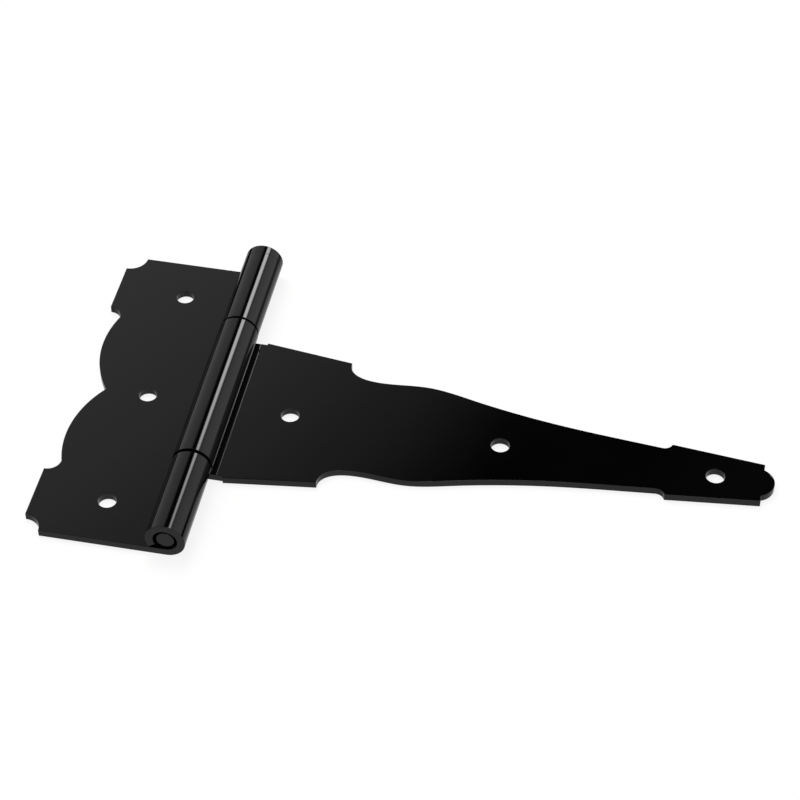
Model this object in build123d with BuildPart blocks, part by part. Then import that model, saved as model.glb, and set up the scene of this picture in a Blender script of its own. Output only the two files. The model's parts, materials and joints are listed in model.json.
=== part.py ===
from build123d import *
import math
import os

os.makedirs("parts", exist_ok=True)

# A tee hinge lying open and flat: a cross leaf, a long strap leaf and the pin that joins them.
# Millimetres. The strap runs along +X, the pin along +Y, and both backs lie on Z = 0.
# The origin is on the back, in the middle of the cross leaf's line of screw holes.

# Sheet and fits
sheet_thickness = 2.8
screw_hole_diameter = 7.0
pin_diameter = 8.6
running_clearance = 0.05
knuckle_gap = 1.2
cutout_clearance = 0.6
roll_seam = 0.2

# Cross leaf: heights along the pin, reaches out from the pin
cross_height = 144.4
cross_reach = 52.25
cross_hole_reach = 25.95
cross_hole_inset = 18.2
corner_notch_radius = 6.65
inner_notch_radius = 5.0
inner_notch_spread = 76.6
middle_cusp_reach = 41.7
lobe_radius = 42.0

# Strap leaf: widths along the pin, reaches out from the pin, setbacks from the tip
strap_length = 202.7
strap_knuckle_length = 68.9
tongue_reach = 10.8
root_width = 70.6
first_hole_reach = 27.4
last_hole_setback = 20.9
scroll_cusp_reach = 43.8
scroll_cusp_width = 61.8
scoop_run = 13.2
scoop_width = 45.6
crest_run = 30.0
crest_width = 47.6
neck_setback = 41.0
neck_width = 20.2
tail_cusp_setback = 37.5
tail_cusp_width = 24.9
tail_end_width = 17.8
tip_width = 12.4
tip_bulge = 4.2

# Hinge pin
pin_head_thickness = 4.1
pin_head_rounding = 0.3
pin_pilot_diameter = 6.5
pin_pilot_length = 5.0
pin_end_rounding = 0.25

# Sizes that follow from the ones above
bore_radius = pin_diameter / 2 + running_clearance
barrel_radius = bore_radius + sheet_thickness
half_height = cross_height / 2
half_knuckle = strap_knuckle_length / 2
end_knuckle_start = half_knuckle + knuckle_gap
end_knuckle_length = half_height - end_knuckle_start
cutout_reach = barrel_radius + cutout_clearance
roll_end_angle = math.degrees(math.asin((bore_radius - roll_seam) / barrel_radius))
strap_hole_span = strap_length - last_hole_setback - first_hole_reach

# Leaf sizes are counted from the pin, so the leaf plane has its origin under the pin.
leaf_plane = Plane(origin=(cross_hole_reach, 0, 0), x_dir=(1, 0, 0), z_dir=(0, 0, 1))


def barrel_plane(y):
    """A plane across the pin, facing -Y, with its origin on the pin's axis."""
    return Plane(origin=(cross_hole_reach, y, barrel_radius), x_dir=(1, 0, 0), z_dir=(0, -1, 0))


def roll_outline(turn):
    """The section of a rolled knuckle, from under the pin around to its own leaf; turn is +1 or -1."""
    sweep = turn * (270 + roll_end_angle)
    outside = CenterArc((0, 0), barrel_radius, -90, sweep)
    inside = CenterArc((0, 0), bore_radius, -90, sweep)
    Line(outside @ 0, inside @ 0)
    Line(outside @ 1, inside @ 1)


# Cross leaf: a notched plate, cut out for the strap's knuckle, with a roll at each end of the cut-out
cross_corner = (-cross_reach + corner_notch_radius, half_height)
cross_side_far = (-cross_reach, half_height - corner_notch_radius)
cross_side_near = (-cross_reach, inner_notch_spread / 2 + inner_notch_radius)
lobe_start = (-cross_reach + inner_notch_radius, inner_notch_spread / 2)
middle_cusp = (-middle_cusp_reach, 0)

with BuildPart() as cross_leaf:
    with BuildSketch(leaf_plane):
        with BuildLine():
            Polyline(
                (-cutout_reach, 0),
                (-cutout_reach, end_knuckle_start),
                (0, end_knuckle_start),
                (0, half_height),
                cross_corner,
            )
            RadiusArc(cross_corner, cross_side_far, corner_notch_radius)
            Line(cross_side_far, cross_side_near)
            RadiusArc(cross_side_near, lobe_start, inner_notch_radius)
            RadiusArc(lobe_start, middle_cusp, -lobe_radius)
            mirror(about=Plane.XZ)
        make_face()
        with Locations((-cross_hole_reach, 0)):
            with GridLocations(0, half_height - cross_hole_inset, 1, 3):
                Circle(screw_hole_diameter / 2, mode=Mode.SUBTRACT)
    extrude(amount=sheet_thickness)
    with BuildSketch(barrel_plane(half_height), barrel_plane(-end_knuckle_start)):
        with BuildLine():
            roll_outline(1)
        make_face()
    extrude(amount=end_knuckle_length)

# Strap leaf: a tongue, a flared root, a scrolled sweep down to the neck, a spear-shaped tail, and one roll
scroll_cusp = (scroll_cusp_reach, scroll_cusp_width / 2)
scoop = (scroll_cusp_reach + scoop_run, scoop_width / 2)
scoop_depth = scroll_cusp[1] - scoop[1]
scoop_points = [
    (scroll_cusp_reach + run * scoop_run, scroll_cusp[1] - depth * scoop_depth)
    for run, depth in ((0.07, 0.48), (0.28, 0.78), (0.58, 0.945))
]
crest = (scroll_cusp_reach + crest_run, crest_width / 2)
neck = (strap_length - neck_setback, neck_width / 2)
sweep_run = neck[0] - crest[0]
sweep_fall = crest[1] - neck[1]
sweep_points = [
    (crest[0] + run * sweep_run, crest[1] - fall * sweep_fall)
    for run, fall in ((0.2, 0.245), (0.4, 0.525), (0.6, 0.73), (0.8, 0.875))
]
tail_cusp = (strap_length - tail_cusp_setback, tail_cusp_width / 2)
tail_end = strap_length - tip_bulge
tip_radius = ((tip_width / 2) ** 2 + tip_bulge**2) / (2 * tip_bulge)

with BuildPart() as strap_leaf:
    with BuildSketch(leaf_plane):
        with BuildLine():
            Polyline(
                (0, 0),
                (0, half_knuckle),
                (tongue_reach, half_knuckle),
                (tongue_reach, root_width / 2),
                scroll_cusp,
            )
            Spline(scroll_cusp, *scoop_points, scoop, tangents=((-0.1, -1), (1, 0)))
            Spline(scoop, crest, *sweep_points, neck, tangents=((1, 0), (1, -0.1)))
            TangentArc(neck, tail_cusp, tangent=(1, -0.1))
            Polyline(tail_cusp, (tail_end, tail_end_width / 2), (tail_end, tip_width / 2))
            RadiusArc((tail_end, tip_width / 2), (strap_length, 0), tip_radius)
            mirror(about=Plane.XZ)
        make_face()
        with Locations((first_hole_reach + strap_hole_span / 2, 0)):
            with GridLocations(strap_hole_span / 2, 0, 3, 1):
                Circle(screw_hole_diameter / 2, mode=Mode.SUBTRACT)
    extrude(amount=sheet_thickness)
    with BuildSketch(barrel_plane(half_knuckle)):
        with BuildLine():
            roll_outline(-1)
        make_face()
    extrude(amount=strap_knuckle_length)

# Hinge pin: a head against the far knuckle, a plain shank, and a thinner pilot end flush with the near knuckle
with BuildPart() as hinge_pin:
    with BuildSketch(barrel_plane(half_height + pin_head_thickness)):
        Circle(barrel_radius)
    extrude(amount=pin_head_thickness)
    with BuildSketch(barrel_plane(half_height)):
        Circle(pin_diameter / 2)
    extrude(amount=cross_height - pin_pilot_length)
    with BuildSketch(barrel_plane(-half_height + pin_pilot_length)):
        Circle(pin_pilot_diameter / 2)
    extrude(amount=pin_pilot_length)
    head_rim = hinge_pin.edges().filter_by(GeomType.CIRCLE).sort_by(Axis.Y)[-1]
    fillet(head_rim, pin_head_rounding)
    pilot_rim = hinge_pin.edges().filter_by(GeomType.CIRCLE).sort_by(Axis.Y)[0]
    fillet(pilot_rim, pin_end_rounding)

cross_leaf.part.label = "cross_leaf"
strap_leaf.part.label = "strap_leaf"
hinge_pin.part.label = "hinge_pin"
export_step(cross_leaf.part, "parts/cross_leaf.step")
export_step(strap_leaf.part, "parts/strap_leaf.step")
export_step(hinge_pin.part, "parts/hinge_pin.step")
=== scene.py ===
"""A black tee hinge in a white studio.

Two leaves of sheet steel are cut flat, rolled round a headed pin and enamelled.
"""

import json
import logging
import math
from dataclasses import dataclass, field
from enum import Enum
from typing import ClassVar

import bmesh
import bpy
import numpy as np
from mathutils import Matrix, Vector, geometry


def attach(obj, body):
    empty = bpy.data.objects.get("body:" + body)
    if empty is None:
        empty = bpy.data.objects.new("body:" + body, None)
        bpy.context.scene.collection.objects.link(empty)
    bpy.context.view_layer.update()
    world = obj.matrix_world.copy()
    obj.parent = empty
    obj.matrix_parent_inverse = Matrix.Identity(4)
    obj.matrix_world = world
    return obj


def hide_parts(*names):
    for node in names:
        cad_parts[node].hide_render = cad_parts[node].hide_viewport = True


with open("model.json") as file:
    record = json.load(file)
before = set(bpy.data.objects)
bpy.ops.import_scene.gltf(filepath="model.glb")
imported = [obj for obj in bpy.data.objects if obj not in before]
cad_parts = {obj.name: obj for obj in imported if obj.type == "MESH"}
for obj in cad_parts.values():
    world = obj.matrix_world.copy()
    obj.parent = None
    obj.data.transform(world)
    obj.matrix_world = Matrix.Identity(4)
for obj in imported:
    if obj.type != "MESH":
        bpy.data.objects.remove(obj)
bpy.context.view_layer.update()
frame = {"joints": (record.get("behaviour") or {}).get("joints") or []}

MM = 0.001
WHITE = (1.0, 1.0, 1.0, 1.0)
LOG = logging.getLogger("tee_hinge")

# The two kinds of node that are used most.
MATH = "ShaderNodeMath"
MAP_RANGE = "ShaderNodeMapRange"

Point = tuple[float, float]
Loop = list[Point]


class Side(Enum):
    """The side of the pin on which a leaf lies."""

    CROSS = -1
    STRAP = 1


class Body(Enum):
    """The moving bodies of the hinge."""

    CROSS = "cross"
    STRAP = "strap"


def linear(hex_colour: str, alpha: float = 1.0) -> tuple[float, float, float, float]:
    """Turns an sRGB hex colour into linear light.

    Args:
        hex_colour: The colour as "#RRGGBB".
        alpha: The fourth value.

    Returns:
        Linear red, green, blue and alpha.
    """
    parts = [int(hex_colour[i : i + 2], 16) / 255 for i in (1, 3, 5)]
    light = [c / 12.92 if c <= 0.04045 else ((c + 0.055) / 1.055) ** 2.4 for c in parts]
    return light[0], light[1], light[2], alpha


def add_node(
    tree: bpy.types.NodeTree, kind: str, inputs: dict | None = None, **settings: object
) -> bpy.types.Node:
    """Adds one node with its settings, values and links.

    Args:
        tree: The tree that gets the node.
        kind: The node's type name.
        inputs: Socket name or number to a value, or to the socket or node that feeds it.
        settings: The node's own properties; stops fills a colour ramp with (place, grey) pairs.

    Returns:
        The new node.
    """
    node = tree.nodes.new(kind)
    stops = settings.pop("stops", ())
    for name, value in settings.items():
        setattr(node, name, value)
    for key, value in (inputs or {}).items():
        source = value.outputs[0] if isinstance(value, bpy.types.Node) else value
        if isinstance(source, bpy.types.NodeSocket):
            tree.links.new(source, node.inputs[key])
        else:
            node.inputs[key].default_value = source
    for _ in stops[2:]:
        node.color_ramp.elements.new(1.0)
    for i, (place, grey) in enumerate(stops):
        node.color_ramp.elements[i].position = place
        node.color_ramp.elements[i].color = (grey, grey, grey, 1.0)
    return node


@dataclass(frozen=True)
class BlackEnamel:
    """Black enamel, dipped and stoved on sheet steel.

    It flows out before it hardens, so the eye sees an even, bottomless black under a wet gloss.
    What gives it away as a coat is a slight orange peel, which makes reflections waver, and
    patches that dried a little flatter.
    """

    name: str = "stoved_black_enamel"
    deep: str = "#010101"
    thin: str = "#030303"
    ior: float = 1.4
    gloss_roughness: float = 0.05
    flat_roughness: float = 0.085
    patch_mm: float = 28.0
    patch_detail: float = 3.0
    patch_grain: float = 0.55
    patch_span: Point = (0.3, 0.7)
    peel_mm: float = 2.4
    peel_detail: float = 1.0
    peel_grain: float = 0.4
    peel_height_mm: float = 0.001

    def material(self) -> bpy.types.Material:
        """Builds the enamel once.

        Returns:
            The material, the same one at each call.
        """
        found = bpy.data.materials.get(self.name)
        if found:
            return found
        made = bpy.data.materials.new(self.name)
        made.use_nodes = True
        tree = made.node_tree
        tree.nodes.clear()
        place = add_node(tree, "ShaderNodeTexCoord").outputs["Object"]
        patches = add_node(
            tree,
            "ShaderNodeTexNoise",
            {
                "Vector": place,
                "Scale": 1 / (self.patch_mm * MM),
                "Detail": self.patch_detail,
                "Roughness": self.patch_grain,
            },
        )
        # A Mix node has a set of sockets for each kind of data, so the colour ones go by place.
        colour = add_node(
            tree,
            "ShaderNodeMix",
            {0: patches, 6: linear(self.deep), 7: linear(self.thin)},
            data_type="RGBA",
        )
        roughness = add_node(
            tree,
            MAP_RANGE,
            {
                "Value": patches,
                "From Min": self.patch_span[0],
                "From Max": self.patch_span[1],
                "To Min": self.gloss_roughness,
                "To Max": self.flat_roughness,
            },
        )
        peel = add_node(
            tree,
            "ShaderNodeTexNoise",
            {
                "Vector": place,
                "Scale": 1 / (self.peel_mm * MM),
                "Detail": self.peel_detail,
                "Roughness": self.peel_grain,
            },
        )
        bump = add_node(
            tree,
            "ShaderNodeBump",
            {"Height": peel, "Strength": 1.0, "Distance": self.peel_height_mm * MM},
        )
        shader = add_node(
            tree,
            "ShaderNodeBsdfPrincipled",
            {
                "Base Color": colour.outputs[2],
                "Roughness": roughness,
                "IOR": self.ior,
                "Normal": bump,
            },
        )
        add_node(tree, "ShaderNodeOutputMaterial", {"Surface": shader})
        return made


class Outline:
    """An outline drawn stretch by stretch in millimetres: x out from the pin, y along it."""

    # The longest step along a curve, the fewest steps on one, and the gap that is no gap.
    STEP = 0.6
    LEAST_ARC_PARTS = 6
    LEAST_CURVE_PARTS = 3
    SAME_PLACE = 1e-6

    def __init__(self, start: Point) -> None:
        """Starts the outline at a point."""
        self.points: Loop = [start]

    def line(self, *ends: Point) -> "Outline":
        """Adds straight stretches to each end in turn."""
        self.points += ends
        return self

    def ruled(self, end: Point, parts: int) -> "Outline":
        """Adds a straight stretch in equal parts, for sheet that is bent later.

        Args:
            end: Where the stretch ends.
            parts: How many parts it has.

        Returns:
            The outline itself.
        """
        (x0, y0), (x1, y1) = self.points[-1], end
        shares = [i / parts for i in range(1, parts + 1)]
        self.points += [(x0 + (x1 - x0) * t, y0 + (y1 - y0) * t) for t in shares]
        return self

    def arc(self, end: Point, centre: Point) -> "Outline":
        """Adds the shorter arc to an end.

        Args:
            end: Where the arc ends.
            centre: The centre of its circle.

        Returns:
            The outline itself.
        """
        x, y = self.points[-1]
        mid_x, mid_y = centre
        radius = math.hypot(x - mid_x, y - mid_y)
        first = math.atan2(y - mid_y, x - mid_x)
        sweep = math.atan2(end[1] - mid_y, end[0] - mid_x) - first
        sweep = (sweep + math.pi) % (2 * math.pi) - math.pi
        parts = max(self.LEAST_ARC_PARTS, math.ceil(abs(sweep) * radius / self.STEP))
        for i in range(1, parts):
            turn = first + sweep * i / parts
            self.points.append((mid_x + radius * math.cos(turn), mid_y + radius * math.sin(turn)))
        self.points.append(end)
        return self

    def arc_along(self, end: Point, direction: Point) -> "Outline":
        """Adds the arc that leaves in a direction and reaches an end.

        Args:
            end: Where the arc ends.
            direction: The way in which it leaves.

        Returns:
            The outline itself.
        """
        x, y = self.points[-1]
        dx, dy = end[0] - x, end[1] - y
        nx, ny = -direction[1], direction[0]
        reach = (dx * dx + dy * dy) / (2 * (dx * nx + dy * ny))
        return self.arc(end, (x + nx * reach, y + ny * reach))

    def curve(self, through: Loop, leave: Point, arrive: Point) -> "Outline":
        """Adds a smooth curve through points.

        Args:
            through: The points after the present one.
            leave: The direction at the start.
            arrive: The direction at the end.

        Returns:
            The outline itself.
        """
        knots = np.array([self.points[-1], *through])
        steps = np.diff(knots, axis=0)
        runs = np.linalg.norm(steps, axis=1)
        count = len(knots)
        system, wanted = np.eye(count), np.zeros((count, 2))
        wanted[0] = np.array(leave) / np.hypot(*leave)
        wanted[-1] = np.array(arrive) / np.hypot(*arrive)
        for i in range(1, count - 1):
            before, after = runs[i - 1], runs[i]
            system[i, i - 1 : i + 2] = 1 / before, 2 / before + 2 / after, 1 / after
            wanted[i] = 3 * (steps[i - 1] / before**2 + steps[i] / after**2)
        slopes = np.linalg.solve(system, wanted)
        for i, run in enumerate(runs):
            parts = max(self.LEAST_CURVE_PARTS, math.ceil(run / self.STEP))
            for t in np.linspace(0, 1, parts + 1)[1:]:
                low, high = 1 - 3 * t**2 + 2 * t**3, 3 * t**2 - 2 * t**3
                bend = (t - 2 * t**2 + t**3) * slopes[i] + (t**3 - t**2) * slopes[i + 1]
                x, y = low * knots[i] + high * knots[i + 1] + run * bend
                self.points.append((float(x), float(y)))
        return self

    def mirrored(self) -> Loop:
        """Closes the outline with its mirror image across the strap's middle line.

        Returns:
            The closed loop, with no point twice.
        """
        back = [(x, -y) for x, y in reversed(self.points)]
        loop = self.points + back
        after = loop[1:] + loop[:1]
        return [p for p, q in zip(loop, after) if math.dist(p, q) > self.SAME_PLACE]


@dataclass
class Sheet:
    """Flat sheet cut to an outline and punched, with the softened edges that a coat leaves.

    Attributes:
        thickness: The sheet's thickness in millimetres.
        edge_radius: The rounding along its cut edges.
        corner_radius: The rounding of the outline's corners.
        corner_share: The most of the stretch beside it that a corner's rounding takes.
        edge_parts: Faces across each rounding.
        sharp_turn: The turn in degrees from which a corner is rounded.
        rule_slack: How far off a bend line a rim's point may lie and still be joined along it.
    """

    # The least lean of an inset step, which keeps it short at a sharp corner.
    LEAST_LEAN: ClassVar[float] = 0.4
    # The distance under which the filler takes two points for one.
    MERGE_DISTANCE: ClassVar[float] = 1e-7

    thickness: float
    edge_radius: float = 0.12
    corner_radius: float = 0.2
    corner_share: float = 0.45
    edge_parts: int = 4
    sharp_turn: float = 20.0
    rule_slack: float = 0.01

    def soften(self, loop: Loop) -> Loop:
        """Rounds every sharp corner of a loop.

        Args:
            loop: The outline.

        Returns:
            The rounded outline.
        """
        made: Loop = []
        for i, point in enumerate(loop):
            here = Vector(point)
            towards, away = here - Vector(loop[i - 1]), Vector(loop[(i + 1) % len(loop)]) - here
            turn = abs(towards.angle_signed(away))
            if turn < math.radians(self.sharp_turn):
                made.append(point)
                continue
            room = self.corner_share * min(towards.length, away.length)
            cut = min(self.corner_radius * math.tan(turn / 2), room)
            start, end = here - towards.normalized() * cut, here + away.normalized() * cut
            for k in range(self.edge_parts + 1):
                t = k / self.edge_parts
                made.append(tuple(start * (1 - t) ** 2 + here * 2 * t * (1 - t) + end * t**2))
        return made

    @classmethod
    def inward(cls, loop: Loop) -> list[Vector]:
        """Finds the way into the sheet all along a loop.

        Args:
            loop: The outline, anticlockwise, or a hole's edge, clockwise.

        Returns:
            For each point, the step for one unit of inset.
        """
        steps = []
        for i, point in enumerate(loop):
            here = Vector(point)
            first = (here - Vector(loop[i - 1])).normalized()
            second = (Vector(loop[(i + 1) % len(loop)]) - here).normalized()
            normal = Vector((-first.y - second.y, first.x + second.x)).normalized()
            lean = max(cls.LEAST_LEAN, normal.dot(Vector((-first.y, first.x))))
            steps.append(normal / lean)
        return steps

    def layers(self) -> list[Point]:
        """Lists the layers of the cut edge, from the front to the back.

        Returns:
            Inset and height of each layer.
        """
        r, top = self.edge_radius, self.thickness
        turns = [math.pi / 2 * k / self.edge_parts for k in range(self.edge_parts + 1)]
        front = [(r - r * math.sin(a), top - r + r * math.cos(a)) for a in turns]
        back = [(inset, top - height) for inset, height in reversed(front)]
        return front + back

    def build(self, outer: Loop, holes: list[Loop], rulings: list[float]) -> bmesh.types.BMesh:
        """Makes the flat piece in metres.

        Args:
            outer: The outline, in millimetres.
            holes: The edges of the punched holes.
            rulings: The x of each line across which the sheet is bent later.

        Returns:
            A closed mesh with the sheet's back at height 0.
        """
        made = bmesh.new()
        loops = [self.turned(self.soften(outer), 1)] + [self.turned(hole, -1) for hole in holes]
        front: list[bmesh.types.BMVert] = []
        back: list[bmesh.types.BMVert] = []
        for loop in loops:
            steps = self.inward(loop)
            rings = []
            for inset, z in self.layers():
                spots = [(x + s.x * inset, y + s.y * inset, z) for (x, y), s in zip(loop, steps)]
                rings.append([made.verts.new(Vector(spot) * MM) for spot in spots])
            for upper, lower in zip(rings, rings[1:]):
                for i in range(len(loop)):
                    j = (i + 1) % len(loop)
                    made.faces.new((upper[i], lower[i], lower[j], upper[j]))
            front += rings[0]
            back += rings[-1]
        self.close(made, front, back, loops, rulings)
        return made

    @staticmethod
    def turned(loop: Loop, way: int) -> Loop:
        """Gives a loop that runs anticlockwise for 1 and clockwise for -1."""
        area = sum(p[0] * q[1] - q[0] * p[1] for p, q in zip(loop, loop[1:] + loop[:1]))
        return loop if area * way > 0 else loop[::-1]

    def close(
        self,
        made: bmesh.types.BMesh,
        front: list[bmesh.types.BMVert],
        back: list[bmesh.types.BMVert],
        loops: list[Loop],
        rulings: list[float],
    ) -> None:
        """Fills the front and the back, in even strips where the sheet is bent later.

        Args:
            made: The mesh that gets the faces.
            front: The front rims' points, loop after loop.
            back: The back rims' points, in the same order.
            loops: The loops, for their lengths.
            rulings: The x of each line that an edge has to follow from side to side.
        """
        flat = [Vector((v.co.x / MM, v.co.y / MM)) for v in front]
        edges, rims, start = [], [], 0
        for loop in loops:
            rim = list(range(start, start + len(loop)))
            edges += zip(rim, rim[1:] + rim[:1])
            rims.append(set(rim))
            start += len(loop)
        lines = []
        for x in rulings:
            across = sorted(
                (p.y, i) for i, p in enumerate(flat) if abs(p.x - x) < self.rule_slack
            )
            lines.append([(a, b) for (_, a), (_, b) in zip(across[::2], across[1::2])])
            edges += lines[-1]
        ruled = {i for line in lines for pair in line for i in pair}
        for here, beyond in zip(lines, lines[1:]):
            for (a, b), (d, c) in zip(here, beyond):
                made.faces.new([front[i] for i in (a, b, c, d)])
                made.faces.new([back[i] for i in (d, c, b, a)])
        filled = geometry.delaunay_2d_cdt(flat, edges, [], 1, self.MERGE_DISTANCE)
        faces, origin = filled[2], filled[3]
        # A face with every corner on one hole's rim lies in that hole. The strips, with every
        # corner on a bend line, are there already.
        left_out = [ruled, *rims[1:]]
        for face in faces:
            corners = [origin[i][0] for i in face]
            if any(points.issuperset(corners) for points in left_out):
                continue
            made.faces.new([front[i] for i in corners])
            made.faces.new([back[i] for i in reversed(corners)])


class RollPress:
    """Rolls a leaf's tabs round the pin by a rule: sheet past the pin's line becomes a coil."""

    INPUTS = {
        "Pin X": "Float",
        "Pin Height": "Float",
        "Side": "Float",
        "Opening": "Float",
        "Finish": "Material",
    }
    # The turn in radians over which a roll opens to its full width.
    OPENING_TURN = 1.0

    def __init__(self, pin_x: float, pin_height: float) -> None:
        """Makes the node tree.

        Args:
            pin_x: The place of the pin's axis along the strap, in metres.
            pin_height: Its height, in metres.
        """
        self.pin_x, self.pin_height = pin_x, pin_height
        self.tree = bpy.data.node_groups.new("roll_round_pin", "GeometryNodeTree")
        self.sockets: dict[str, str] = {}
        self.wire()

    def wire(self) -> None:
        """Builds the tree.

        Each line across the tab turns round the pin by its distance past the pin's line.
        """
        tree = self.tree
        tree.interface.new_socket("Geometry", in_out="INPUT", socket_type="NodeSocketGeometry")
        for name, kind in self.INPUTS.items():
            made = tree.interface.new_socket(
                name, in_out="INPUT", socket_type=f"NodeSocket{kind}"
            )
            self.sockets[name] = made.identifier
        tree.interface.new_socket("Geometry", in_out="OUTPUT", socket_type="NodeSocketGeometry")
        given = add_node(tree, "NodeGroupInput").outputs
        pin, height = given["Pin X"], given["Pin Height"]
        place = add_node(tree, "GeometryNodeInputPosition")
        x, y, z = add_node(tree, "ShaderNodeSeparateXYZ", {0: place}).outputs
        off = add_node(tree, MATH, {0: pin, 1: x}, operation="SUBTRACT")
        past = add_node(tree, MATH, {0: off, 1: given["Side"]}, operation="MULTIPLY")
        bent = add_node(tree, MATH, {0: past, 1: 0.0}, operation="GREATER_THAN")
        angle = add_node(tree, MATH, {0: off, 1: height}, operation="DIVIDE")
        turn = add_node(tree, MATH, {0: angle}, operation="ABSOLUTE")
        opened = add_node(
            tree,
            MAP_RANGE,
            {"Value": turn, "From Max": self.OPENING_TURN, "To Max": given["Opening"]},
            interpolation_type="SMOOTHSTEP",
        )
        low = add_node(tree, MATH, {0: z, 1: opened}, operation="SUBTRACT")
        start = add_node(tree, "ShaderNodeCombineXYZ", {0: pin, 1: y, 2: low})
        axis = add_node(tree, "ShaderNodeCombineXYZ", {0: pin, 2: height})
        coil = add_node(
            tree,
            "ShaderNodeVectorRotate",
            {"Vector": start, "Center": axis, "Angle": angle},
            rotation_type="Y_AXIS",
        )
        rolled = add_node(
            tree,
            "GeometryNodeSetPosition",
            {"Geometry": given["Geometry"], "Selection": bent, "Position": coil},
        )
        real = add_node(tree, "GeometryNodeRealizeInstances", {"Geometry": rolled})
        dressed = add_node(
            tree, "GeometryNodeSetMaterial", {"Geometry": real, "Material": given["Finish"]}
        )
        add_node(tree, "NodeGroupOutput", {0: dressed})

    def load(
        self,
        blank: bpy.types.Object,
        side: Side,
        opening: float,
        finish: bpy.types.Material,
    ) -> None:
        """Puts a flat leaf in the press.

        Args:
            blank: The flat leaf, with its back at height 0.
            side: The side of the pin on which it lies.
            opening: How far its roll stands open, in metres.
            finish: The material that it gets.
        """
        press = blank.modifiers.new("roll", "NODES")
        press.node_group = self.tree
        press[self.sockets["Pin X"]] = self.pin_x
        press[self.sockets["Pin Height"]] = self.pin_height
        press[self.sockets["Side"]] = float(side.value)
        press[self.sockets["Opening"]] = opening
        press[self.sockets["Finish"]] = finish


def plain_object(name: str, made: bmesh.types.BMesh) -> bpy.types.Object:
    """Turns a finished bmesh into an object of smooth faces.

    Args:
        name: The object's name.
        made: The mesh, which is freed.

    Returns:
        The object, linked to the scene.
    """
    mesh = bpy.data.meshes.new(name)
    bmesh.ops.recalc_face_normals(made, faces=made.faces)
    for face in made.faces:
        face.smooth = True
    made.to_mesh(mesh)
    made.free()
    piece = bpy.data.objects.new(name, mesh)
    bpy.context.scene.collection.objects.link(piece)
    return piece


@dataclass
class HingePiece:
    """What every piece of the hinge shares. Sizes are in millimetres.

    Attributes:
        pin_x: The place of the pin's axis along the strap.
        pin_height: The height of the pin's axis, which is the barrel's radius too.
        finish: The coat that the piece gets.
    """

    NAME: ClassVar[str]
    NODE: ClassVar[str]
    BODY: ClassVar[Body]
    # The strongest weight, which keeps flats flat beside their roundings.
    NORMAL_WEIGHT: ClassVar[int] = 100

    pin_x: float
    pin_height: float
    finish: BlackEnamel

    def dress(self, piece: bpy.types.Object) -> bpy.types.Object:
        """Gives a piece its coat and its normals.

        Args:
            piece: The object, with its modifiers still live.

        Returns:
            The same object with a plain mesh.
        """
        weighted = piece.modifiers.new("flat_faces", "WEIGHTED_NORMAL")
        weighted.mode = "FACE_AREA"
        weighted.weight = self.NORMAL_WEIGHT
        graph = bpy.context.evaluated_depsgraph_get()
        mesh = bpy.data.meshes.new_from_object(
            piece.evaluated_get(graph), preserve_all_data_layers=True, depsgraph=graph
        )
        blank = piece.data
        piece.modifiers.clear()
        piece.data = mesh
        bpy.data.meshes.remove(blank)
        mesh.name = piece.name
        mesh.materials.clear()
        mesh.materials.append(self.finish.material())
        return piece

    def show(self, piece: bpy.types.Object) -> bpy.types.Object:
        """Lets a finished piece ride on its body and stand for its solid.

        Args:
            piece: The finished piece.

        Returns:
            The same piece.
        """
        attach(piece, self.BODY.value)
        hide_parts(self.NODE)
        faces = len(piece.data.polygons)
        LOG.info("%s: %d faces, on body %s", piece.name, faces, self.BODY.value)
        return piece


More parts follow.
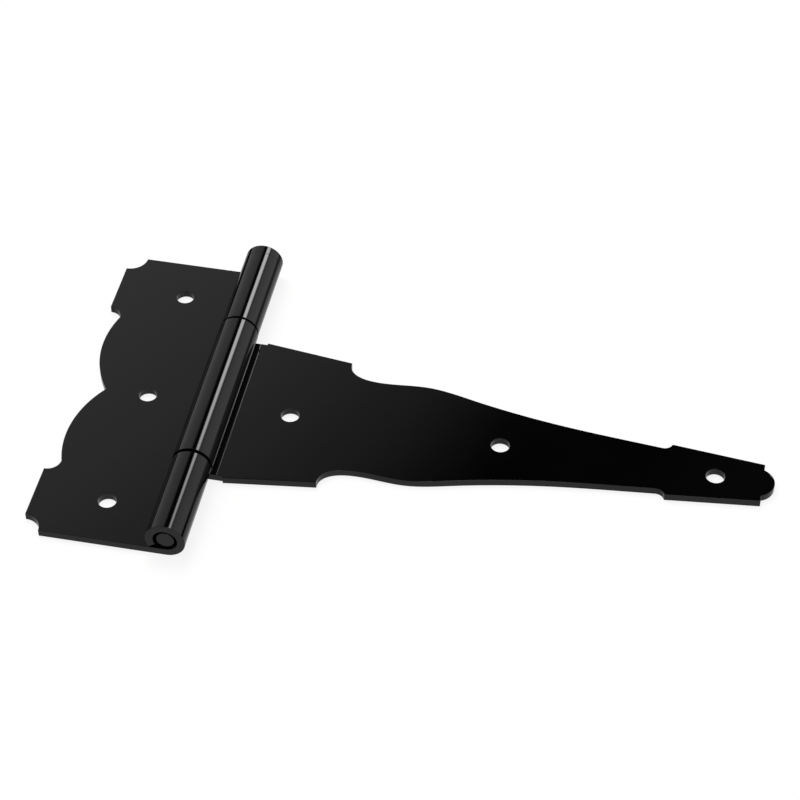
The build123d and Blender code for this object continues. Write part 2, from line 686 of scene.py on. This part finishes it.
@dataclass
class Leaf(HingePiece):
    """What both leaves share: the sheet, its screw holes and the roll round the pin.

    Attributes:
        thickness: The sheet's thickness.
        hole_diameter: The screw holes' diameter before coating.
        coat: The coat's thickness on cut edges that nothing runs against.
        roll_seam: The gap left between the end of the roll and the leaf.
        roll_opening: How much wider the roll stands than a close fit on the pin, each way.
        roll_parts: Faces round the roll.
        hole_parts: Faces round a hole.
    """

    SIDE: ClassVar[Side]

    thickness: float = 2.8
    hole_diameter: float = 7.0
    coat: float = 0.1
    roll_seam: float = 0.45
    roll_opening: float = 0.0
    roll_parts: int = 72
    hole_parts: int = 72

    @property
    def roll_length(self) -> float:
        """Finds the length of sheet past the pin's line that becomes the roll.

        Returns:
            The length in millimetres.
        """
        bore = self.pin_height - self.thickness
        rest = math.asin((bore - self.roll_seam) / self.pin_height)
        return self.pin_height * (1.5 * math.pi + rest)

    def hole(self, x: float, y: float) -> Loop:
        """Draws the edge of a screw hole, narrowed by the coat on its wall.

        Args:
            x: Its reach out from the pin.
            y: Its place along the pin.

        Returns:
            The edge, drawn from the pin.
        """
        turns = [2 * math.pi * i / self.hole_parts for i in range(self.hole_parts)]
        r = self.hole_diameter / 2 - self.coat
        return [(x + r * math.cos(a), y + r * math.sin(a)) for a in turns]

    def coated(self, loop: Loop) -> Loop:
        """Adds the coat to an outline, out beyond the barrel.

        Args:
            loop: The outline, drawn from the pin.

        Returns:
            The wider outline, anticlockwise.
        """
        clear = 2 * self.pin_height
        edge = Sheet.turned(loop, 1)
        return [
            (x - step.x * self.coat, y - step.y * self.coat) if x > clear else (x, y)
            for (x, y), step in zip(edge, Sheet.inward(edge))
        ]

    def placed(self, loop: Loop) -> Loop:
        """Moves a loop drawn from the pin to its place beside it."""
        return [(self.pin_x + self.SIDE.value * x, y) for x, y in loop]

    def rulings(self) -> list[float]:
        """The x of each line across which the tab bends."""
        step = self.roll_length / self.roll_parts
        return [self.pin_x - self.SIDE.value * step * i for i in range(self.roll_parts)]

    def rolled(self, outer: Loop, holes: list[Loop], press: RollPress) -> bpy.types.Object:
        """Cuts, punches, rolls and coats the leaf.

        Args:
            outer: Its outline, drawn from the pin.
            holes: The edges of its screw holes, drawn from the pin.
            press: What rolls it.

        Returns:
            The finished leaf.
        """
        edge = self.placed(self.coated(outer))
        punched = [self.placed(hole) for hole in holes]
        flat = Sheet(self.thickness).build(edge, punched, self.rulings())
        blank = plain_object(self.NAME, flat)
        press.load(blank, self.SIDE, self.roll_opening * MM, self.finish.material())
        return self.dress(blank)


@dataclass
class CrossLeaf(Leaf):
    """The notched leaf on the post: heights run along the pin, reaches out from it."""

    NAME = "rolled_cross_leaf"
    NODE = "cross_leaf"
    BODY = Body.CROSS
    SIDE = Side.CROSS

    hole_diameter: float = 6.8
    height: float = 144.4
    reach: float = 52.25
    hole_reach: float = 25.95
    hole_inset: float = 18.2
    corner_notch: float = 6.65
    inner_notch: float = 5.0
    inner_notch_spread: float = 76.6
    middle_cusp_reach: float = 41.7
    lobe_radius: float = 42.0
    cutout_reach: float = 7.75
    knuckle_start: float = 35.65

    def outline(self) -> Loop:
        """Draws the leaf with its two tabs still flat.

        Returns:
            The outline, drawn from the pin.
        """
        top, out = self.height / 2, self.reach
        notch, bite, low = self.corner_notch, self.inner_notch, self.inner_notch_spread / 2
        roll, start, cut = -self.roll_length, self.knuckle_start, self.cutout_reach
        half = Outline((cut, 0.0)).line((cut, start), (0.0, start))
        half.ruled((roll, start), self.roll_parts).line((roll, top))
        half.ruled((0.0, top), self.roll_parts).line((out - notch, top))
        half.arc((out, top - notch), (out, top))
        half.line((out, low + bite)).arc((out - bite, low), (out, low))
        half.arc((self.middle_cusp_reach, 0.0), self.lobe_centre())
        return half.mirrored()

    def lobe_centre(self) -> Point:
        """Finds the centre of the bulging edge between the small notch and the middle cusp.

        Returns:
            The centre, drawn from the pin.
        """
        start = Vector((self.reach - self.inner_notch, self.inner_notch_spread / 2))
        end = Vector((self.middle_cusp_reach, 0.0))
        chord = start - end
        drop = math.sqrt(self.lobe_radius**2 - chord.length_squared / 4)
        away = Vector((-chord.y, chord.x)).normalized()
        centre = (start + end) / 2 + away * drop
        return centre.x, centre.y

    def build(self, press: RollPress) -> bpy.types.Object:
        """Makes the leaf and lets it stand for its solid.

        Args:
            press: What rolls it.

        Returns:
            The finished leaf.
        """
        step = self.height / 2 - self.hole_inset
        holes = [self.hole(self.hole_reach, y) for y in (-step, 0.0, step)]
        return self.show(self.rolled(self.outline(), holes, press))


@dataclass
class StrapLeaf(Leaf):
    """The long scrolled leaf on the gate: widths run along the pin, reaches out from it."""

    NAME = "rolled_strap_leaf"
    NODE = "strap_leaf"
    BODY = Body.STRAP
    SIDE = Side.STRAP

    roll_opening: float = 0.2
    length: float = 202.7
    knuckle_length: float = 68.9
    tongue_reach: float = 10.8
    root_width: float = 70.6
    first_hole_reach: float = 27.4
    last_hole_setback: float = 20.9
    scroll_cusp: Point = (43.8, 30.9)
    scroll_leave: Point = (-0.1, -1.0)
    scoop: Point = (57.0, 22.8)
    scoop_shape: tuple[Point, ...] = ((0.07, 0.48), (0.28, 0.78), (0.58, 0.945))
    crest: Point = (73.8, 23.8)
    sweep_shape: tuple[Point, ...] = ((0.2, 0.245), (0.4, 0.525), (0.6, 0.73), (0.8, 0.875))
    neck: Point = (161.7, 10.1)
    neck_slope: Point = (1.0, -0.1)
    tail_cusp: Point = (165.2, 12.45)
    tail_end_width: float = 17.8
    tip_width: float = 12.4
    tip_bulge: float = 4.2

    @staticmethod
    def between(start: Point, end: Point, shares: tuple[Point, ...]) -> Loop:
        """Places points at given shares of the way from a start to an end, x and y apart.

        Args:
            start: Where the way starts.
            end: Where it ends.
            shares: Share of the way in x and in y, for each point.

        Returns:
            The points.
        """
        run, rise = end[0] - start[0], end[1] - start[1]
        return [(start[0] + a * run, start[1] + b * rise) for a, b in shares]

    def outline(self) -> Loop:
        """Draws the leaf with its tab still flat.

        Returns:
            The outline, drawn from the pin.
        """
        wide, root, tail_end = self.knuckle_length / 2, self.root_width / 2, self.tail_end_width / 2
        tail, tip = self.length - self.tip_bulge, self.tip_width / 2
        tip_radius = (tip**2 + self.tip_bulge**2) / (2 * self.tip_bulge)
        level = (1.0, 0.0)
        half = Outline((-self.roll_length, 0.0)).line((-self.roll_length, wide))
        half.ruled((0.0, wide), self.roll_parts)
        half.line((self.tongue_reach, wide), (self.tongue_reach, root), self.scroll_cusp)
        scoop = self.between(self.scroll_cusp, self.scoop, self.scoop_shape)
        half.curve([*scoop, self.scoop], self.scroll_leave, level)
        sweep = self.between(self.crest, self.neck, self.sweep_shape)
        half.curve([self.crest, *sweep, self.neck], level, self.neck_slope)
        half.arc_along(self.tail_cusp, self.neck_slope).line((tail, tail_end), (tail, tip))
        half.arc((self.length, 0.0), (self.length - tip_radius, 0.0))
        return half.mirrored()

    def build(self, press: RollPress) -> bpy.types.Object:
        """Makes the leaf and lets it stand for its solid.

        Args:
            press: What rolls it.

        Returns:
            The finished leaf.
        """
        last = self.length - self.last_hole_setback
        middle = (self.first_hole_reach + last) / 2
        holes = [self.hole(x, 0.0) for x in (self.first_hole_reach, middle, last)]
        return self.show(self.rolled(self.outline(), holes, press))


@dataclass
class HingePin(HingePiece):
    """The headed pin: a turned shank, a head as wide as the barrel, and a thinner near end."""

    NAME = "turned_hinge_pin"
    NODE = "hinge_pin"
    BODY = Body.CROSS

    diameter: float = 8.6
    barrel_length: float = 144.4
    head_thickness: float = 4.1
    head_rounding: float = 0.3
    pilot_diameter: float = 6.5
    pilot_length: float = 5.0
    end_recess: float = 0.4
    end_rounding: float = 0.25
    edge_rounding: float = 0.12
    parts: int = 96
    rounding_parts: int = 5

    def rim(self, radius: float, place: float, rounding: float, way: int) -> Loop:
        """Draws a rounded rim.

        Args:
            radius: The radius of the pin beside the rim.
            place: The place of the rim's flat along the pin.
            rounding: The radius of the rounding.
            way: 1 to go from the flat to the side, -1 to go from the side to the flat.

        Returns:
            Radius and place of each ring.
        """
        rings = []
        for k in range(self.rounding_parts + 1):
            turn = math.pi / 2 * k / self.rounding_parts
            inset, rise = rounding * (1 - math.sin(turn)), rounding * (1 - math.cos(turn))
            rings.append((radius - inset, place + way * rise))
        return rings[::way]

    def profile(self) -> Loop:
        """Draws the pin from the near end to the head.

        Returns:
            Radius and place of each ring along the pin.
        """
        near, far = -self.barrel_length / 2, self.barrel_length / 2
        thin, shank, head = self.pilot_diameter / 2, self.diameter / 2, self.pin_height
        step = near + self.pilot_length
        return [
            *self.rim(thin, near + self.end_recess, self.end_rounding, 1),
            (thin, step),
            *self.rim(shank, step, self.edge_rounding, 1),
            (shank, far),
            *self.rim(head, far, self.edge_rounding, 1),
            *self.rim(head, far + self.head_thickness, self.head_rounding, -1),
        ]

    def build(self) -> bpy.types.Object:
        """Turns the pin and lets it stand for its solid.

        Returns:
            The finished pin.
        """
        made = bmesh.new()
        turns = [2 * math.pi * i / self.parts for i in range(self.parts)]
        rings = []
        for radius, place in self.profile():
            ring = []
            for turn in turns:
                x = self.pin_x + radius * math.cos(turn)
                z = self.pin_height + radius * math.sin(turn)
                ring.append(made.verts.new(Vector((x, place, z)) * MM))
            rings.append(ring)
        for near, far in zip(rings, rings[1:]):
            for i in range(self.parts):
                j = (i + 1) % self.parts
                made.faces.new((near[i], near[j], far[j], far[i]))
        made.faces.new(rings[0])
        made.faces.new(rings[-1])
        return self.show(self.dress(plain_object(self.NAME, made)))


@dataclass(frozen=True)
class StudioLight:
    """What a white studio sends to the hinge, by direction.

    The angle runs across the pin in degrees, from 0 at the strap's tip over the top to 180 at the
    cross leaf's edge. The share along the pin is 0 straight across it and 1 straight along it.

    Attributes:
        sky: Angle and brightness of the soft surround above the floor line.
        sweep: Depth below the floor line and brightness of the white sweep, with a dark gap at
            its foot.
        tilt: Degrees by which the surround's edges lean for each unit along the pin.
        tilt_centre: Share along the pin where they don't lean.
        foot_lean: Rise of the sweep's foot towards the cross leaf's side.
        foot_spread: Share by which the foot is wider there than over the pin.
        foot_fade: Share along the pin and least brightness in the gap, for its near and far end.
        floor_line: Half the height over which the surround passes into the sweep.
        lamp_peak: Brightness of the soft lamp above the pin.
        lamp_angle: Angles where the lamp starts, is full, is full and ends.
        lamp_trim: Share along the pin below which the lamp ends sooner, and degrees for each unit.
        lamp_along: Share along the pin where the lamp starts, is full, is full and ends.
        second_mirror: Share of the soft surround that is left in a reflection of a reflection.
        plain: The even level that lights what isn't glossy.
    """

    HALF_TURN: ClassVar[float] = 180.0
    # Ray Depth is 2 after one reflection and 3 after two.
    ONE_REFLECTION: ClassVar[float] = 2.5

    sky: tuple[Point, ...] = (
        (0, 0.80),
        (10, 0.92),
        (25, 0.97),
        (46, 0.97),
        (55, 0.82),
        (60, 0.35),
        (84, 0.008),
        (88.4, 0.008),
        (89.2, 0.046),
        (90, 0.048),
        (92, 0.018),
        (94, 0.012),
        (97, 0.008),
        (98, 0.025),
        (99, 0.09),
        (100, 0.175),
        (101.5, 0.272),
        (103, 0.346),
        (105, 0.472),
        (107, 0.58),
        (109, 0.64),
        (111, 0.70),
        (120, 0.70),
        (172, 0.69),
        (180, 0.64),
    )
    sweep: tuple[Point, ...] = (
        (0.0, 0.72),
        (0.055, 0.62),
        (0.095, 0.05),
        (0.12, 0.0),
        (0.275, 0.0),
        (0.35, 0.46),
        (0.43, 0.57),
        (0.55, 0.545),
        (0.65, 0.555),
        (0.69, 0.60),
        (0.72, 0.69),
        (1.0, 0.78),
    )
    tilt: float = 54.0
    tilt_centre: float = 0.69
    foot_lean: float = 0.048
    foot_spread: float = 0.244
    foot_fade: tuple[Point, Point] = ((0.655, 0.005), (0.721, 0.17))
    floor_line: float = 0.012
    lamp_peak: float = 10.8
    lamp_angle: tuple[float, float, float, float] = (59.3, 69.6, 78.3, 84.0)
    lamp_trim: Point = (0.685, 75.0)
    lamp_along: tuple[float, float, float, float] = (0.56, 0.71, 0.72, 0.88)
    second_mirror: float = 0.55
    plain: float = 0.75

    def dress(self, world: bpy.types.World) -> None:
        """Builds the surround in a world's nodes.

        Args:
            world: The world that gets them.
        """
        world.use_nodes = True
        tree = world.node_tree
        tree.nodes.clear()
        ray = add_node(tree, "ShaderNodeLightPath").outputs
        mirrored = add_node(
            tree,
            MATH,
            {0: ray["Is Glossy Ray"], 1: ray["Is Transmission Ray"]},
            operation="ADD",
            use_clamp=True,
        )
        again = add_node(
            tree, MATH, {0: ray["Ray Depth"], 1: self.ONE_REFLECTION}, operation="GREATER_THAN"
        )
        share = add_node(
            tree, MATH, {0: again, 1: self.second_mirror - 1.0, 2: 1.0}, operation="MULTIPLY_ADD"
        )
        mirror = self.surround(tree, share)
        lit = add_node(tree, "ShaderNodeMix", {"Factor": mirrored, "A": self.plain, "B": mirror})
        strength = add_node(
            tree, "ShaderNodeMix", {"Factor": ray["Is Camera Ray"], "A": lit, "B": 1.0}
        )
        light = add_node(tree, "ShaderNodeBackground", {"Color": WHITE, "Strength": strength})
        add_node(tree, "ShaderNodeOutputWorld", {"Surface": light})

    def surround(self, tree: bpy.types.NodeTree, share: bpy.types.Node) -> bpy.types.Node:
        """Adds the nodes that give the surround's brightness by direction.

        Args:
            tree: The world's node tree.
            share: The node that gives the share of the soft surround that is left.

        Returns:
            The node whose first output is the brightness.
        """
        way = add_node(tree, "ShaderNodeTexCoord").outputs["Generated"]
        x, y, z = add_node(tree, "ShaderNodeSeparateXYZ", {0: way}).outputs
        along = add_node(tree, MATH, {0: y}, operation="ABSOLUTE")
        around = add_node(tree, MATH, {0: z, 1: x}, operation="ARCTAN2")
        angle = add_node(tree, MATH, {0: around, 1: math.degrees(1.0)}, operation="MULTIPLY")
        off = add_node(tree, MATH, {0: along, 1: self.tilt_centre}, operation="SUBTRACT")
        leaned = add_node(tree, MATH, {0: off, 1: self.tilt, 2: angle}, operation="MULTIPLY_ADD")

        # The lamp: four soft edges, one after the other.
        trim_start, trim_rate = self.lamp_trim
        short = add_node(tree, MATH, {0: trim_start, 1: along}, operation="SUBTRACT")
        near = add_node(tree, MATH, {0: short, 1: 0.0}, operation="MAXIMUM")
        trimmed = add_node(tree, MATH, {0: near, 1: trim_rate, 2: angle}, operation="MULTIPLY_ADD")
        edges = (
            (leaned, self.lamp_angle[0], self.lamp_angle[1]),
            (trimmed, self.lamp_angle[3], self.lamp_angle[2]),
            (along, self.lamp_along[0], self.lamp_along[1]),
            (along, self.lamp_along[3], self.lamp_along[2]),
        )
        lamp = self.lamp_peak
        for value, dark, full in edges:
            edge = add_node(
                tree,
                MAP_RANGE,
                {"Value": value, "From Min": dark, "From Max": full},
                interpolation_type="SMOOTHSTEP",
            )
            lamp = add_node(tree, MATH, {0: edge, 1: lamp}, operation="MULTIPLY")

        # The soft surround above the floor line.
        turn = add_node(tree, MATH, {0: leaned, 1: self.HALF_TURN}, operation="DIVIDE")
        stops = [(degrees / self.HALF_TURN, grey) for degrees, grey in self.sky]
        sky = add_node(tree, "ShaderNodeValToRGB", {0: turn}, stops=stops)

        # The white sweep below it, with the dark gap, which fades on the strap's side.
        rise = add_node(tree, MATH, {0: x, 1: -self.foot_lean}, operation="MULTIPLY")
        spread = add_node(
            tree, MATH, {0: x, 1: -self.foot_spread, 2: -1.0}, operation="MULTIPLY_ADD"
        )
        depth = add_node(tree, MATH, {0: z, 1: spread, 2: rise}, operation="MULTIPLY_ADD")
        paper = add_node(tree, "ShaderNodeValToRGB", {0: depth}, stops=self.sweep)
        (fade_start, darkest), (fade_end, faded) = self.foot_fade
        gap = add_node(
            tree,
            MAP_RANGE,
            {
                "Value": along,
                "From Min": fade_start,
                "From Max": fade_end,
                "To Min": darkest,
                "To Max": faded,
            },
        )
        ahead = add_node(tree, MATH, {0: x, 1: 0.0}, operation="GREATER_THAN")
        least = add_node(tree, MATH, {0: gap, 1: ahead}, operation="MULTIPLY")
        sweep = add_node(tree, MATH, {0: paper, 1: least}, operation="MAXIMUM")

        up = add_node(
            tree,
            MAP_RANGE,
            {"Value": z, "From Min": -self.floor_line, "From Max": self.floor_line},
            interpolation_type="SMOOTHSTEP",
        )
        soft = add_node(tree, "ShaderNodeMix", {"Factor": up, "A": sweep, "B": sky})
        return add_node(tree, MATH, {0: soft, 1: share, 2: lamp}, operation="MULTIPLY_ADD")


@dataclass
class Studio:
    """The floor, the light and the camera. Lengths are in millimetres and angles in degrees."""

    light: StudioLight = field(default_factory=StudioLight)
    floor_size: float = 8000.0
    floor_drop: float = 0.1
    floor_colour: str = "#F5F5F3"
    floor_lift: float = 0.84
    key_place: tuple[float, float, float] = (-420.0, 700.0, 1500.0)
    key_size: float = 900.0
    key_power: float = 17.0
    target: tuple[float, float, float] = (86.552, 17.526, 0.0)
    azimuth: float = -78.720
    elevation: float = 44.654
    roll: float = 0.084
    distance: float = 915.90
    nearest: float = 10.0
    farthest: float = 100000.0
    sensor_width: float = 36.0
    focal_pixels: float = 2499.63
    image_pixels: int = 800
    shift_pixels: float = 10.48

    def build(self) -> None:
        """Makes the whole studio."""
        scene = bpy.context.scene
        scene.view_settings.view_transform = "Standard"
        scene.world = bpy.data.worlds.new("white_studio")
        self.light.dress(scene.world)
        self.lay_floor()
        self.hang_key()
        self.set_camera()

    def lay_floor(self) -> None:
        """Lays a pale floor that keeps the hinge's shadow and is otherwise white to the eye."""
        made = bmesh.new()
        bmesh.ops.create_grid(made, x_segments=1, y_segments=1, size=self.floor_size / 2 * MM)
        bmesh.ops.translate(made, verts=made.verts, vec=(0.0, 0.0, -self.floor_drop * MM))
        floor = plain_object("floor", made)
        # Gloss mirrors the surround's own white sweep, which has the dark gap, and not the floor.
        floor.visible_glossy = False
        paper = bpy.data.materials.new("white_paper_sweep")
        paper.use_nodes = True
        tree = paper.node_tree
        tree.nodes.clear()
        ray = add_node(tree, "ShaderNodeLightPath").outputs
        mirrored = add_node(
            tree,
            MATH,
            {0: ray["Is Glossy Ray"], 1: ray["Is Transmission Ray"]},
            operation="ADD",
        )
        seen = add_node(
            tree,
            MATH,
            {0: ray["Is Camera Ray"], 1: mirrored},
            operation="ADD",
            use_clamp=True,
        )
        lift = add_node(tree, MATH, {0: seen, 1: self.floor_lift}, operation="MULTIPLY")
        matt = add_node(tree, "ShaderNodeBsdfDiffuse", {"Color": linear(self.floor_colour)})
        white = add_node(tree, "ShaderNodeEmission", {"Color": WHITE, "Strength": 1.0})
        both = add_node(tree, "ShaderNodeMixShader", {0: lift, 1: matt, 2: white})
        add_node(tree, "ShaderNodeOutputMaterial", {"Surface": both})
        floor.data.materials.append(paper)
        LOG.info("floor laid")

    def hang_key(self) -> None:
        """Hangs a large soft lamp, which only shapes the shadow on the floor."""
        data = bpy.data.lights.new("key_lamp", "AREA")
        data.shape = "SQUARE"
        data.size = self.key_size * MM
        data.energy = self.key_power
        lamp = bpy.data.objects.new("key_lamp", data)
        lamp.location = Vector(self.key_place) * MM
        aim = Vector(self.target) * MM - lamp.location
        lamp.rotation_euler = aim.to_track_quat("-Z", "Y").to_euler()
        lamp.visible_glossy = False
        bpy.context.scene.collection.objects.link(lamp)

    def set_camera(self) -> None:
        """Puts the camera where the picture was taken from."""
        az, el, roll = (math.radians(a) for a in (self.azimuth, self.elevation, self.roll))
        back = Vector((math.cos(el) * math.cos(az), math.cos(el) * math.sin(az), math.sin(el)))
        level = Vector((-math.sin(az), math.cos(az), 0.0))
        upright = back.cross(level)
        right = level * math.cos(roll) + upright * math.sin(roll)
        data = bpy.data.cameras.new("camera")
        data.sensor_width = self.sensor_width
        data.lens = self.focal_pixels * self.sensor_width / self.image_pixels
        data.shift_x = self.shift_pixels / self.image_pixels
        data.clip_start, data.clip_end = self.nearest * MM, self.farthest * MM
        camera = bpy.data.objects.new("camera", data)
        place = (Vector(self.target) + back * self.distance) * MM
        turn = Matrix((right, back.cross(right), back)).transposed().to_4x4()
        camera.matrix_world = Matrix.Translation(place) @ turn
        bpy.context.scene.collection.objects.link(camera)
        bpy.context.scene.camera = camera


def main() -> None:
    """Builds the studio and the hinge, piece by piece."""
    logging.basicConfig(level=logging.INFO, format="%(name)s: %(message)s")
    axis = frame["joints"][0]["pos_m"]
    press = RollPress(axis[0], axis[2])
    enamel = BlackEnamel()
    Studio().build()
    shared = (axis[0] / MM, axis[2] / MM, enamel)
    CrossLeaf(*shared).build(press)
    StrapLeaf(*shared).build(press)
    HingePin(*shared).build()


if __name__ == "__main__":
    main()
